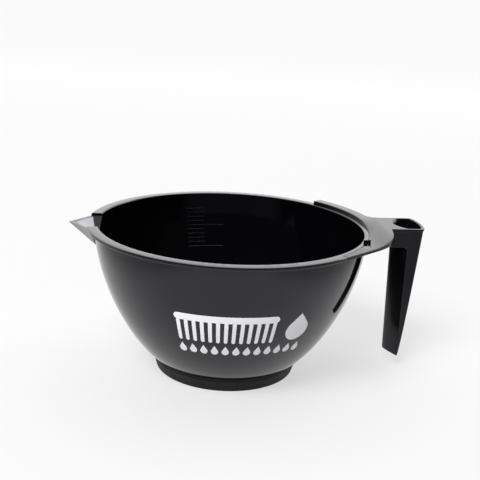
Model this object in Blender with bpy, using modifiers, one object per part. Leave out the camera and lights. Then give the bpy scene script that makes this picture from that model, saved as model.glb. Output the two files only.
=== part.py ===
"""Hair colour mixing bowl: glossy bowl with a pouring beak, lapped-on handle and rubber foot ring.

Metres, +Z up.  +X points from the bowl to its handle, -X roughly along the pouring beak.  The origin is the
middle of the footprint at the height of the table.  Everything is laid out about the bowl's own
upright axis, which an empty carries, so radii and angles below are measured from that axis.
"""
import math

import bmesh
import bpy
from mathutils import Vector

MM = 0.001

# Driving dimensions, in millimetres
RIM_RADIUS = 65.0          # outer edge of the flat rim
RIM_HEIGHT = 68.0          # table to rim top
RIM_INNER_RADIUS = 60.2
RIM_THICKNESS = 1.6
RIM_EDGE_ROUND = 0.5
WALL_THICKNESS = 1.4
WALL_TOP_RADIUS = 61.5     # outside of the wall just under the rim
WALL_FOOT_RADIUS = 31.1    # outside of the wall just above the foot ring
WALL_FOOT_HEIGHT = 4.9
WALL_HEIGHT_POWER = 1.667  # the wall's outline is a stretched superellipse
WALL_RADIUS_POWER = 1.332
FLOOR_HEIGHT = 8.4         # inside floor above the table
GAP = 0.3                  # clearance between touching pieces
OVERLAP = 0.07             # how far a joined shape sits inside the one that carries it

# Foot of the bowl and the rubber ring stretched over it
FOOT_RADIUS = 29.6
FOOT_INNER_RADIUS = 27.9
FOOT_BOTTOM = 1.6
FOOT_RECESS_HEIGHT = 6.8
FOOT_TOP = 7.05            # the wall starts here, just above the ring
RING_OUTER_RADIUS = 32.1   # at the table; the ring flares upward
RING_TOP_RADIUS = 34.1
RING_TOP = 6.7
RING_LIP_INNER_RADIUS = 26.6
RING_LIP_HEIGHT = 1.3
RING_EDGE_ROUND = 0.6
RING_GROOVE_HEIGHT = 5.5
RING_GROOVE_DEPTH = 0.3

# Pouring beak
BEAK_REACH = 73.0          # axis to the beak's tip
BEAK_TURN = -3.8           # the beak points this far off the line of the handle
BEAK_TOP = RIM_HEIGHT - 1.2
BEAK_CORNER_X = 63.3       # where the beak's top edges leave the rim
BEAK_CORNER_Y = 12.7
BEAK_KEEL_X = 61.0         # where the keel meets the wall
BEAK_KEEL_HEIGHT = 56.2
BEAK_WALL = 1.3
BEAK_RIM_GAP = 11.6        # half the width cut out of the rim
BEAK_ROOT_X = 57.0         # how far the beak's blank reaches into the bowl before it is trimmed

# Graduation ridges inside the bowl
RIDGE_COUNT = 10
RIDGE_FIRST_DEPTH = 8.0    # below the rim top
RIDGE_PITCH = 2.1
RIDGE_PROUD = 0.4
RIDGE_WIDTH = 0.7
RIDGE_START_ANGLE = 105.0
RIDGE_SHORT_SPAN = 9.0
RIDGE_LONG_SPAN = 19.0
RIDGE_LONG_EVERY = 5

# Seat in the rim that the handle laps over
SEAT_START_ANGLE = -50.0
SEAT_END_ANGLE = 41.0
SEAT_RADIUS = 62.2
SEAT_TONGUE_RADIUS = 64.7
SEAT_TONGUE_TOP = RIM_HEIGHT - 0.9

# Handle: ear plate with a thumb wing on one side, raised rail, head and hollow grip
EAR_THICKNESS = 1.5
EAR_TANGENT_ANGLE = -51.7  # where the wing's straight side leaves the rim circle
EAR_RADIUS = 73.1
EAR_CORNER_POWER = 42.0    # higher is a sharper corner
EAR_FAR_RADIUS = 67.8      # the far side is only as wide as the rail
EAR_FAR_FILLET = 6.0
RAIL_HEIGHT = 1.6
RAIL_FADE_ANGLE = -4.0     # the rail starts to sink here
RAIL_END_ANGLE = -21.0     # and is level with the ear here
HEAD_TOP = RIM_HEIGHT + 1.4
HEAD_HALF_WIDTH = 10.4
HEAD_RAMP_X = 64.8         # the ear starts to rise to the head here
HEAD_LEVEL_X = 68.5
HEAD_RAMP_ANGLE = -19.0    # foot of the rise on the wing
WEB_THICKNESS = 1.5
WEB_INNER_X = 72.9
WEB_BOTTOM = 60.6
WEB_FILLET = 1.6
GRIP_INNER_X = 80.7        # corners of the side that faces the bowl
GRIP_INNER_BULGE = 5.3
GRIP_INNER_POWER = 1.3     # 2 is a plain arc, 1 is a ridge
GRIP_OUTER_X = 87.1        # outer corners at the top
GRIP_OUTER_BULGE = 2.4
GRIP_FOOT_OUTER_X = 81.3
GRIP_FOOT_INNER_BULGE = 3.8
GRIP_FOOT_OUTER_BULGE = 0.8
GRIP_FOOT_HEIGHT = 7.0     # the foot is cut level
GRIP_TAPER_POWER = 0.78
GRIP_WALL = 1.3
SOCKET_FLOOR_HEIGHT = 28.0
SOCKET_LEVELS = 5
SOCKET_INNER_POWER = 2.0   # the hollow is rounder than the outside
SOCKET_BULGE_LESS = 0.9
SOCKET_LEAD = 1.5          # the mouth spreads this far toward the bowl, and is this deep

# Blind slot across the seam of the rim and the ear, on the near side of the handle
SLOT_BACK_Y = -23.9
SLOT_FRONT_Y = -36.5
SLOT_BACK_INNER_X = 55.6
SLOT_FRONT_INNER_X = 51.7
SLOT_WIDTH = 3.2
SLOT_DEPTH = 1.2

# Mesh density
BOWL_STEPS = 64
WALL_POINTS = 12
ROUND_POINTS = 3
SECTION_POINTS = 12
GRIP_LEVELS = 9
EAR_POINTS = 26
FILLET_POINTS = 6
FAR_POINTS = 8
RAIL_POINTS = 24
SECTOR_STEP_ANGLE = 4.0

TIP_X = BEAK_REACH * math.cos(math.radians(BEAK_TURN))
BOWL_AXIS_X = (TIP_X - GRIP_OUTER_X - GRIP_OUTER_BULGE) / 2


def clear_scene():
    for old in list(bpy.data.objects):
        bpy.data.objects.remove(old, do_unlink=True)


def make_collection(name):
    group = bpy.data.collections.new(name)
    bpy.context.scene.collection.children.link(group)
    return group


def make_material(name, colour, roughness):
    material = bpy.data.materials.new(name)
    material.use_nodes = True
    shader = material.node_tree.nodes["Principled BSDF"]
    shader.inputs["Base Color"].default_value = (*colour, 1.0)
    shader.inputs["Roughness"].default_value = roughness
    shader.inputs["Metallic"].default_value = 0.0
    return material


def add_object(name, mesh, group, parent):
    piece = bpy.data.objects.new(name, mesh)
    group.objects.link(piece)
    piece.parent = parent
    return piece


def hide_cutter(cutter):
    cutter.hide_render = True
    cutter.display_type = "WIRE"


def boolean(target, tool, operation):
    modifier = target.modifiers.new(f"{operation.lower()}_{tool.name}", "BOOLEAN")
    modifier.operation = operation
    modifier.solver = "EXACT"
    modifier.object = tool


def arc(centre_r, centre_z, radius, start, end, count=ROUND_POINTS):
    """Points of a circular arc in the profile plane, angles in degrees."""
    points = []
    for index in range(count):
        angle = math.radians(start + (end - start) * index / (count - 1))
        points.append((centre_r + radius * math.cos(angle), centre_z + radius * math.sin(angle)))
    return points


def polar(radius, angle):
    return radius * math.cos(math.radians(angle)), radius * math.sin(math.radians(angle))


def turned(name, profile, group, parent, closed=False):
    """A profile of (radius, height) points turned about the bowl's axis by a Screw modifier."""
    mesh = bpy.data.meshes.new(name)
    verts = [(r * MM, 0.0, z * MM) for r, z in profile]
    edges = [(i, i + 1) for i in range(len(verts) - 1)]
    if closed:
        edges.append((len(verts) - 1, 0))
    mesh.from_pydata(verts, edges, [])
    piece = add_object(name, mesh, group, parent)
    screw = piece.modifiers.new("turn", "SCREW")
    screw.axis = "Z"
    screw.angle = 2 * math.pi
    screw.steps = BOWL_STEPS
    screw.render_steps = BOWL_STEPS
    screw.use_merge_vertices = True
    screw.merge_threshold = 0.00001
    screw.use_smooth_shade = True
    return piece


def loft(name, rings, group, parent):
    """A closed solid through rings of points, with a face over each end."""
    body = bmesh.new()
    rows = [[body.verts.new(Vector(point) * MM) for point in ring] for ring in rings]
    count = len(rows[0])
    for first, second in zip(rows, rows[1:]):
        for k in range(count):
            after = (k + 1) % count
            body.faces.new((first[k], first[after], second[after], second[k]))
    body.faces.new(rows[0])
    body.faces.new(rows[-1])
    bmesh.ops.recalc_face_normals(body, faces=body.faces)
    mesh = bpy.data.meshes.new(name)
    body.to_mesh(mesh)
    body.free()
    return add_object(name, mesh, group, parent)


def sector(name, profile, start, sweep, group, parent):
    """A closed (radius, height) profile carried part of the way round the axis."""
    steps = max(2, round(sweep / SECTOR_STEP_ANGLE))
    rings = []
    for index in range(steps + 1):
        angle = start + sweep * index / steps
        rings.append([(*polar(radius, angle), z) for radius, z in profile])
    return loft(name, rings, group, parent)


def hull(name, points, group, parent):
    """The convex solid around a set of points."""
    body = bmesh.new()
    for point in points:
        body.verts.new(Vector(point) * MM)
    result = bmesh.ops.convex_hull(body, input=body.verts)
    loose = [item for item in result["geom_interior"] if isinstance(item, bmesh.types.BMVert)]
    bmesh.ops.delete(body, geom=loose, context="VERTS")
    bmesh.ops.recalc_face_normals(body, faces=body.faces)
    mesh = bpy.data.meshes.new(name)
    body.to_mesh(mesh)
    body.free()
    return add_object(name, mesh, group, parent)


def slab(name, outline, bottom, top, group, parent):
    """A flat outline with thickness: a filled 2D curve, extruded, made into a mesh."""
    curve = bpy.data.curves.new(name, "CURVE")
    curve.dimensions = "2D"
    curve.fill_mode = "BOTH"
    curve.extrude = (top - bottom) / 2 * MM
    spline = curve.splines.new("POLY")
    spline.points.add(len(outline) - 1)
    for point, (x, y) in zip(spline.points, outline):
        point.co = (x * MM, y * MM, 0.0, 1.0)
    spline.use_cyclic_u = True
    flat = add_object(name + "_outline", curve, group, parent)
    flat.location.z = (top + bottom) / 2 * MM
    bpy.context.view_layer.update()
    mesh = bpy.data.meshes.new_from_object(flat.evaluated_get(bpy.context.evaluated_depsgraph_get()))
    body = bmesh.new()
    body.from_mesh(mesh)
    bmesh.ops.remove_doubles(body, verts=body.verts, dist=0.00001)
    bmesh.ops.recalc_face_normals(body, faces=body.faces)
    body.to_mesh(mesh)
    body.free()
    mesh.name = name
    piece = add_object(name, mesh, group, parent)
    piece.location = flat.location
    bpy.data.objects.remove(flat, do_unlink=True)
    return piece


def wall_radius(share):
    """Outside radius of the wall, share 0 at its foot and 1 under the rim."""
    rise = (1 - (1 - share) ** WALL_HEIGHT_POWER) ** (1 / WALL_RADIUS_POWER)
    return WALL_FOOT_RADIUS + (WALL_TOP_RADIUS - WALL_FOOT_RADIUS) * rise


def wall_radius_at(height):
    return wall_radius((height - WALL_FOOT_HEIGHT) / (RIM_HEIGHT - RIM_THICKNESS - WALL_FOOT_HEIGHT))


def wall_outside():
    """The wall's outer outline from under the rim down to the foot, closer set near the foot."""
    top = RIM_HEIGHT - RIM_THICKNESS
    points = []
    for index in range(WALL_POINTS + 1):
        share = (1 - index / WALL_POINTS) ** 1.6
        points.append((wall_radius(share), WALL_FOOT_HEIGHT + (top - WALL_FOOT_HEIGHT) * share))
    return points


def wall_inside():
    """The outer outline moved in by the wall's thickness, square to the surface."""
    outside = wall_outside()
    points = []
    for before, here, after in zip(outside, outside[1:-1], outside[2:]):
        along_r = after[0] - before[0]
        along_z = after[1] - before[1]
        length = math.hypot(along_r, along_z)
        points.append((here[0] + along_z / length * WALL_THICKNESS,
                       here[1] - along_r / length * WALL_THICKNESS))
    return points


def inside_radius(height):
    """Inside radius of the wall at a height."""
    points = wall_inside()
    for (upper_r, upper_z), (lower_r, lower_z) in zip(points, points[1:]):
        if lower_z <= height <= upper_z:
            share = (height - lower_z) / (upper_z - lower_z)
            return lower_r + (upper_r - lower_r) * share
    return RIM_INNER_RADIUS


def bowl_blank_profile():
    edge_r = RIM_RADIUS - RIM_EDGE_ROUND
    underside = RIM_HEIGHT - RIM_THICKNESS
    profile = [(0.0, RIM_HEIGHT)]
    profile += arc(edge_r, RIM_HEIGHT - RIM_EDGE_ROUND, RIM_EDGE_ROUND, 90, 0)
    profile += arc(edge_r, underside + RIM_EDGE_ROUND, RIM_EDGE_ROUND, 0, -90)
    profile += [point for point in wall_outside() if point[1] > FOOT_TOP + 0.4]
    profile += [(wall_radius_at(FOOT_TOP), FOOT_TOP), (FOOT_RADIUS, FOOT_TOP)]
    profile.append((FOOT_RADIUS, FOOT_BOTTOM))
    profile += [(FOOT_INNER_RADIUS, FOOT_BOTTOM), (FOOT_INNER_RADIUS, FOOT_RECESS_HEIGHT)]
    profile.append((0.0, FOOT_RECESS_HEIGHT))
    return profile


def bowl_cavity_profile():
    above = RIM_HEIGHT + 5.0
    lip_r = RIM_INNER_RADIUS + RIM_EDGE_ROUND
    profile = [(0.0, above), (lip_r, above)]
    profile += arc(lip_r, RIM_HEIGHT - RIM_EDGE_ROUND, RIM_EDGE_ROUND, 90, 180)
    inside = [point for point in wall_inside() if point[1] > FLOOR_HEIGHT + 1.2]
    profile += inside
    last_r, last_z = inside[-1]
    corner_r = last_r - (last_z - FLOOR_HEIGHT) * 1.9
    profile.append(((last_r + corner_r) / 2, FLOOR_HEIGHT + (last_z - FLOOR_HEIGHT) * 0.28))
    profile += [(corner_r, FLOOR_HEIGHT), (0.0, FLOOR_HEIGHT)]
    return profile


def along_beak(points):
    """Points laid out along -X, turned to the beak's own direction."""
    cosine = math.cos(math.radians(BEAK_TURN))
    sine = math.sin(math.radians(BEAK_TURN))
    return [(x * cosine - y * sine, x * sine + y * cosine, z) for x, y, z in points]


def beak_blank(group, parent):
    points = [(-BEAK_REACH, 0, BEAK_TOP), (-BEAK_REACH + 0.5, 0, BEAK_TOP - 0.5)]
    for side in (-1, 1):
        points.append((-BEAK_CORNER_X, side * BEAK_CORNER_Y, BEAK_TOP))
        points.append((-BEAK_ROOT_X, side * BEAK_CORNER_Y, BEAK_TOP))
    points.append((-BEAK_KEEL_X, 0, BEAK_KEEL_HEIGHT))
    points.append((-BEAK_ROOT_X, 0, BEAK_KEEL_HEIGHT))
    return hull("beak_blank", along_beak(points), group, parent)


def beak_channel(group, parent):
    """V-shaped way from the bowl to the tip, a wall's thickness inside the beak."""
    tip = (-BEAK_REACH + 1.9 * BEAK_WALL, 0)
    corner = (BEAK_CORNER_X - 0.3, BEAK_CORNER_Y - 1.15 * BEAK_WALL)
    keel_x = BEAK_KEEL_X - 0.5
    keel_z = BEAK_KEEL_HEIGHT + 1.5 * BEAK_WALL
    inside_x = BEAK_ROOT_X - 8.0
    points = [(tip[0], 0, BEAK_TOP), (tip[0], 0, BEAK_TOP + 4)]
    for side in (-1, 1):
        for x in (corner[0], inside_x):
            points.append((-x, side * corner[1], BEAK_TOP))
            points.append((-x, side * corner[1], BEAK_TOP + 4))
    points += [(-keel_x, 0, keel_z), (-inside_x, 0, keel_z)]
    return hull("beak_channel", along_beak(points), group, parent)


def rim_gap(group, parent):
    """Square-ended break in the rim where the beak leaves it."""
    points = []
    for x in (-BEAK_REACH, -BEAK_ROOT_X + 3):
        for y in (-BEAK_RIM_GAP, BEAK_RIM_GAP):
            points += [(x, y, BEAK_TOP), (x, y, RIM_HEIGHT + 4)]
    return hull("rim_gap", along_beak(points), group, parent)


def slot_cutter(group, parent):
    points = []
    for z in (RIM_HEIGHT - SLOT_DEPTH, RIM_HEIGHT + 4):
        for y, x in ((SLOT_BACK_Y, SLOT_BACK_INNER_X), (SLOT_FRONT_Y, SLOT_FRONT_INNER_X)):
            points += [(x, y, z), (x + SLOT_WIDTH, y, z)]
    return hull("slot", points, group, parent)


def seat_cutter(group, parent):
    """Takes the rim down to a tongue over the handle's sector."""
    above = RIM_HEIGHT + 3
    below = RIM_HEIGHT - RIM_THICKNESS - 2
    beyond = RIM_RADIUS + 3
    profile = [(SEAT_RADIUS, above), (beyond, above), (beyond, below)]
    profile += [(SEAT_TONGUE_RADIUS, below), (SEAT_TONGUE_RADIUS, SEAT_TONGUE_TOP)]
    profile.append((SEAT_RADIUS, SEAT_TONGUE_TOP))
    sweep = SEAT_END_ANGLE - SEAT_START_ANGLE
    return sector("seat", profile, SEAT_START_ANGLE, sweep, group, parent)


def graduation_ridges(group, parent):
    ridges = []
    for index in range(RIDGE_COUNT):
        height = RIM_HEIGHT - RIDGE_FIRST_DEPTH - RIDGE_PITCH * index
        long_line = (index + 1) % RIDGE_LONG_EVERY == 0
        span = RIDGE_LONG_SPAN if long_line else RIDGE_SHORT_SPAN
        radius = inside_radius(height)
        inner = radius - RIDGE_PROUD
        outer = radius + WALL_THICKNESS / 2
        half = RIDGE_WIDTH / 2
        profile = [(inner, height + half), (outer, height + half)]
        profile += [(outer, height - half), (inner, height - half)]
        ridges.append(sector(f"ridge_{index:02d}", profile, RIDGE_START_ANGLE - span, span,
                             group, parent))
    return ridges


def build_bowl(parts, cutters, axis):
    bowl = turned("bowl_shell", bowl_blank_profile(), parts, axis)
    boolean(bowl, beak_blank(cutters, axis), "UNION")
    boolean(bowl, turned("cavity", bowl_cavity_profile(), cutters, axis), "DIFFERENCE")
    boolean(bowl, beak_channel(cutters, axis), "DIFFERENCE")
    boolean(bowl, rim_gap(cutters, axis), "DIFFERENCE")
    boolean(bowl, seat_cutter(cutters, axis), "DIFFERENCE")
    boolean(bowl, slot_cutter(cutters, axis), "DIFFERENCE")
    for ridge in graduation_ridges(cutters, axis):
        boolean(bowl, ridge, "UNION")
    bowl.data.materials.append(make_material("gloss_black_plastic", (0.012, 0.012, 0.013), 0.12))
    return bowl


def ear_outer_radius(angle):
    """The wing's edge: a straight side tangent to the rim, blended into an arc."""
    away = min(angle - EAR_TANGENT_ANGLE, 80.0)
    side = RIM_RADIUS / math.cos(math.radians(away))
    power = EAR_CORNER_POWER
    return (side ** -power + EAR_RADIUS ** -power) ** (-1 / power)


def seat_angles():
    """Ends of the ear, a gap short of the ends of its seat."""
    gap_angle = math.degrees(GAP / RIM_RADIUS)
    return SEAT_START_ANGLE + gap_angle, SEAT_END_ANGLE - gap_angle


def ear_outline():
    start, end = seat_angles()
    side_y = HEAD_HALF_WIDTH - OVERLAP
    head_angle = math.degrees(math.asin(side_y / EAR_RADIUS))
    fillet_y = side_y + EAR_FAR_FILLET
    fillet_x = math.sqrt((EAR_FAR_RADIUS + EAR_FAR_FILLET) ** 2 - fillet_y ** 2)
    far_angle = math.degrees(math.atan2(fillet_y, fillet_x))
    outline = []
    for index in range(EAR_POINTS + 1):
        angle = start + (head_angle - start) * index / EAR_POINTS
        outline.append(polar(ear_outer_radius(angle), angle))
    outline += arc(fillet_x, fillet_y, EAR_FAR_FILLET, 270, 180 + far_angle, FILLET_POINTS)
    for index in range(1, FAR_POINTS + 1):
        outline.append(polar(EAR_FAR_RADIUS, far_angle + (end - far_angle) * index / FAR_POINTS))
    for index in range(EAR_POINTS + 1):
        outline.append(polar(SEAT_RADIUS + GAP, end + (start - end) * index / EAR_POINTS))
    return outline


def ear_lap_cutter(group, parent):
    """Underside step that sits over the rim's tongue."""
    below = RIM_HEIGHT - EAR_THICKNESS - 2
    top = SEAT_TONGUE_TOP + GAP
    inner = SEAT_RADIUS - 1
    outer = SEAT_TONGUE_RADIUS + GAP
    profile = [(inner, top), (outer, top), (outer, below), (inner, below)]
    sweep = SEAT_END_ANGLE - SEAT_START_ANGLE + 4
    return sector("ear_lap", profile, SEAT_START_ANGLE - 2, sweep, group, parent)


def rail_height(angle):
    """Full height from the square end, sinking smoothly into the ear at the slot."""
    share = (angle - RAIL_END_ANGLE) / (RAIL_FADE_ANGLE - RAIL_END_ANGLE)
    share = min(max(share, 0.0), 1.0)
    return RAIL_HEIGHT * share * share * (3 - 2 * share)


def build_rail(group, parent):
    """A loft along the ear's inner edge, upright inside and sloping outside, of changing height."""
    inner = SEAT_RADIUS + GAP + OVERLAP
    outer = EAR_FAR_RADIUS - OVERLAP
    root = RIM_HEIGHT - 0.4
    end = seat_angles()[1] - OVERLAP
    rings = []
    for index in range(RAIL_POINTS + 1):
        angle = RAIL_END_ANGLE + (end - RAIL_END_ANGLE) * index / RAIL_POINTS
        height = rail_height(angle)
        section = [(inner, root), (inner, RIM_HEIGHT + height * 0.8)]
        section += [(inner + 0.4, RIM_HEIGHT + height), (inner + 3.4, RIM_HEIGHT + height * 0.9)]
        section += [(outer - 0.5, RIM_HEIGHT + height * 0.4), (outer, RIM_HEIGHT - 0.02)]
        section.append((outer, root))
        rings.append([(*polar(radius, angle), z) for radius, z in section])
    return loft("rail", rings, group, parent)


def grip_point(side, turn, height, inset):
    """A point of the grip's outline: side +1 away from the bowl, -1 toward it, turn -90 to 90."""
    share = (min(height, HEAD_TOP) - GRIP_FOOT_HEIGHT) / (HEAD_TOP - GRIP_FOOT_HEIGHT)
    y = (HEAD_HALF_WIDTH - inset) * math.sin(math.radians(turn))
    if side > 0:
        taper = share ** GRIP_TAPER_POWER
        corner = GRIP_FOOT_OUTER_X + (GRIP_OUTER_X - GRIP_FOOT_OUTER_X) * taper - inset
        bulge = GRIP_FOOT_OUTER_BULGE + (GRIP_OUTER_BULGE - GRIP_FOOT_OUTER_BULGE) * share
        return corner + bulge * math.cos(math.radians(turn)), y
    bulge = GRIP_FOOT_INNER_BULGE + (GRIP_INNER_BULGE - GRIP_FOOT_INNER_BULGE) * min(1, share * 1.15)
    power = GRIP_INNER_POWER + (SOCKET_INNER_POWER - GRIP_INNER_POWER) * inset / GRIP_WALL
    bow = 1 - abs(math.sin(math.radians(turn))) ** power
    bulge -= SOCKET_BULGE_LESS * inset / GRIP_WALL
    return GRIP_INNER_X + inset - bulge * bow, y


def grip_turns():
    """Both curved sides in order round the outline: side and turning angle."""
    turns = [-90 + 180 * index / SECTION_POINTS for index in range(SECTION_POINTS + 1)]
    return [(1, turn) for turn in turns] + [(-1, turn) for turn in reversed(turns)]


def build_grip_blank(group, parent):
    rings = []
    for level in range(GRIP_LEVELS + 1):
        height = GRIP_FOOT_HEIGHT + (HEAD_TOP - GRIP_FOOT_HEIGHT) * level / GRIP_LEVELS
        ring = []
        for side, turn in grip_turns():
            x, y = grip_point(side, turn, height, 0.0)
            ring.append((x, y, height))
        rings.append(ring)
    return loft("grip_blank", rings, group, parent)


def build_head(group, parent):
    """Rise from the ear to the level top of the grip."""
    bottom = RIM_HEIGHT - EAR_THICKNESS + 0.1
    half = HEAD_HALF_WIDTH
    ramp_x, ramp_y = polar(HEAD_RAMP_X, HEAD_RAMP_ANGLE)
    wing_x, wing_y = polar(EAR_RADIUS - 0.8, HEAD_RAMP_ANGLE)
    points = [(ramp_x, ramp_y, RIM_HEIGHT - 0.02), (wing_x, wing_y, RIM_HEIGHT - 0.02)]
    for side in (-1, 1):
        points += [(HEAD_RAMP_X, side * half, z) for z in (bottom, RIM_HEIGHT - 0.02)]
        points.append((HEAD_LEVEL_X, side * half, HEAD_TOP))
        points += [(GRIP_INNER_X + 0.5, side * half, z) for z in (bottom, HEAD_TOP)]
    return hull("head", points, group, parent)


def build_web(side, group, parent):
    """Side web under the head, rounded into the grip at its lower corner."""
    top = RIM_HEIGHT + 0.3
    back_x = GRIP_INNER_X + 0.5
    fillet_x = GRIP_INNER_X - WEB_FILLET
    outline = [(back_x, top), (WEB_INNER_X, top), (WEB_INNER_X, WEB_BOTTOM)]
    outline += arc(fillet_x, WEB_BOTTOM - WEB_FILLET, WEB_FILLET, 90, 0, 5)
    outline.append((back_x, WEB_BOTTOM - WEB_FILLET))
    rings = []
    for y in (HEAD_HALF_WIDTH - WEB_THICKNESS, HEAD_HALF_WIDTH):
        rings.append([(x, side * y, z) for x, z in outline])
    return loft(f"web_{side:+d}", rings, group, parent)


def build_socket(group, parent):
    """The hollow in the grip, open at the top, a wall's thickness inside it."""
    depth = HEAD_TOP - SOCKET_LEAD - SOCKET_FLOOR_HEIGHT
    levels = [(SOCKET_FLOOR_HEIGHT + depth * index / SOCKET_LEVELS, 0.0)
              for index in range(SOCKET_LEVELS + 1)]
    levels += [(HEAD_TOP, SOCKET_LEAD), (HEAD_TOP + 3, SOCKET_LEAD)]
    rings = []
    for height, lead in levels:
        ring = []
        for side, turn in grip_turns():
            x, y = grip_point(side, turn, height, GRIP_WALL)
            ring.append((x - (lead if side < 0 else 0.0), y, height))
        rings.append(ring)
    return loft("socket", rings, group, parent)


def build_handle(parts, cutters, axis):
    bottom = RIM_HEIGHT - EAR_THICKNESS
    handle = slab("handle", ear_outline(), bottom, RIM_HEIGHT, parts, axis)
    boolean(handle, build_rail(cutters, axis), "UNION")
    boolean(handle, build_head(cutters, axis), "UNION")
    for side in (-1, 1):
        boolean(handle, build_web(side, cutters, axis), "UNION")
    boolean(handle, build_grip_blank(cutters, axis), "UNION")
    boolean(handle, build_socket(cutters, axis), "DIFFERENCE")
    boolean(handle, ear_lap_cutter(cutters, axis), "DIFFERENCE")
    boolean(handle, bpy.data.objects["slot"], "DIFFERENCE")
    handle.data.materials.append(make_material("satin_black_plastic", (0.018, 0.018, 0.02), 0.42))
    return handle


def build_ring(parts, axis):
    """Rubber ring: a band round the foot with a lip turned in under it."""
    band_inner = FOOT_RADIUS + GAP
    low = RING_EDGE_ROUND
    profile = [(band_inner, RING_TOP)]
    profile += arc(RING_TOP_RADIUS - 0.3, RING_TOP - 0.3, 0.3, 90, 0)
    slope = (RING_OUTER_RADIUS - RING_TOP_RADIUS) / (RING_TOP - low)
    for offset, depth in ((0.35, 0.0), (0.0, RING_GROOVE_DEPTH), (-0.35, 0.0)):
        z = RING_GROOVE_HEIGHT + offset
        profile.append((RING_TOP_RADIUS + slope * (RING_TOP - z) - depth, z))
    profile += arc(RING_OUTER_RADIUS - low, low, low, 0, -90)
    profile += [(RING_LIP_INNER_RADIUS, 0.0), (RING_LIP_INNER_RADIUS, RING_LIP_HEIGHT)]
    profile.append((band_inner, RING_LIP_HEIGHT))
    ring = turned("non_slip_ring", profile, parts, axis, closed=True)
    ring.data.materials.append(make_material("black_rubber", (0.02, 0.02, 0.024), 0.6))
    return ring


def build():
    clear_scene()
    parts = make_collection("hair_color_bowl")
    cutters = make_collection("cutters")
    axis = bpy.data.objects.new("bowl_axis", None)
    axis.location = (BOWL_AXIS_X * MM, 0.0, 0.0)
    parts.objects.link(axis)
    build_bowl(parts, cutters, axis)
    build_handle(parts, cutters, axis)
    build_ring(parts, axis)
    for cutter in cutters.objects:
        hide_cutter(cutter)


build()
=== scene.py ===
"""Looks of the hair colour bowl: a glossy moulded bowl, its satin handle, rubber foot ring and print.

Lengths are millimetres about the bowl's own upright axis, with z from the table; the frame gives the
axis, the rim and the handle's reach.  Angles are degrees about that axis, 0 toward the handle.
"""

import math

import bmesh
import bpy
from mathutils import Matrix, Vector


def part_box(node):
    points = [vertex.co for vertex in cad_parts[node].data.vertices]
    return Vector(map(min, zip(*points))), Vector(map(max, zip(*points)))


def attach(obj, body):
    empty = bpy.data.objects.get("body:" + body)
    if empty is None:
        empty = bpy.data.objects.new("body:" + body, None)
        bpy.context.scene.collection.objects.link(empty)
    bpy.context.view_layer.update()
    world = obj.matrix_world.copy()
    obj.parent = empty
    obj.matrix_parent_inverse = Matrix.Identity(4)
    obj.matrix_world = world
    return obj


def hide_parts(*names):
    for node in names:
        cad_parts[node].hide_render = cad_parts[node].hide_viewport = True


MM = 0.001

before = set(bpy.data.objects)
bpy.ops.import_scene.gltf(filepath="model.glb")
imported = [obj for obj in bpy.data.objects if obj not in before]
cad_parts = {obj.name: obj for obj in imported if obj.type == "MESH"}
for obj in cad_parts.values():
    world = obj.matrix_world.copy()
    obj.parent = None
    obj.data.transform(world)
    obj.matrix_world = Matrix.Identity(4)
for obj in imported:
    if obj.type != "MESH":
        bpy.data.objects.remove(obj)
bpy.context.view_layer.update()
shell_low, shell_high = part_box("bowl_shell")
ring_low, ring_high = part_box("non_slip_ring")
handle_low, handle_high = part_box("handle")

# Taken from the frame
AXIS_X = (ring_low.x + ring_high.x) / 2
RIM_RADIUS = shell_high.y / MM
RIM_HEIGHT = shell_high.z / MM
BEAK_TURN = -3.8           # the beak points this far off the line of the handle
BEAK_REACH = (AXIS_X - shell_low.x) / MM / math.cos(math.radians(BEAK_TURN))
GRIP_REACH = (handle_high.x - AXIS_X) / MM
GRIP_FOOT_HEIGHT = handle_low.z / MM
RING_TOP = ring_high.z / MM
RING_TOP_RADIUS = (ring_high.y - ring_low.y) / 2 / MM

# Bowl
RIM_THICKNESS = 1.6
RIM_EDGE_ROUND = 0.55
RIM_INNER_RADIUS = 60.2
RIM_ROOT_ROUND = 0.8
RIM_TOP_RUN = 2.0          # the flat top starts this far inside the rim's inner edge
LIP_DEPTH = 1.5            # the wall's inner outline starts this far below the rim's top
WALL_THICKNESS = 1.4
WALL_TOP_RADIUS = 61.5
WALL_FOOT_RADIUS = 31.1
WALL_FOOT_HEIGHT = 4.9
WALL_LOWEST = 0.1          # the inner outline stops this far above the wall's foot
WALL_HEIGHT_POWER = 1.667
WALL_RADIUS_POWER = 1.332
FLOOR_HEIGHT = 8.4
FOOT_RADIUS = 29.6
FOOT_INNER_RADIUS = 27.9
FOOT_BOTTOM = 1.6
FOOT_RECESS_HEIGHT = 6.8
FOOT_TOP = RING_TOP + 0.12
FLOOR_CORNER_HEIGHT = 1.2  # the wall turns into the inside floor within this height
FLOOR_CORNER_SPREAD = 1.9
FLOOR_CORNER_SAG = 0.28
CUTTER_PAST = 4.0          # cutting tools reach this far past the surfaces they open

# Pouring beak
BEAK_TOP = RIM_HEIGHT - 1.2
BEAK_CORNER_X = 63.3
BEAK_CORNER_Y = 12.7
BEAK_KEEL_X = 61.0
BEAK_KEEL_HEIGHT = 56.2
BEAK_TIP_BLUNT = 0.5
BEAK_TIP_WALL = 2.47       # level, behind the tip
BEAK_SIDE_WALL = 1.495     # across, at the corners
BEAK_KEEL_WALL = 1.95      # upright, over the keel
BEAK_CORNER_INSET = 0.3
BEAK_KEEL_INSET = 0.5
BEAK_ROOT_X = 57.0
BEAK_CHANNEL_RUN = 8.0     # the channel's tool reaches this far into the bowl
BEAK_EDGE_ROUND = 0.35
BEAK_RIM_GAP = 11.6
RIM_GAP_RUN = 3.0

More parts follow.
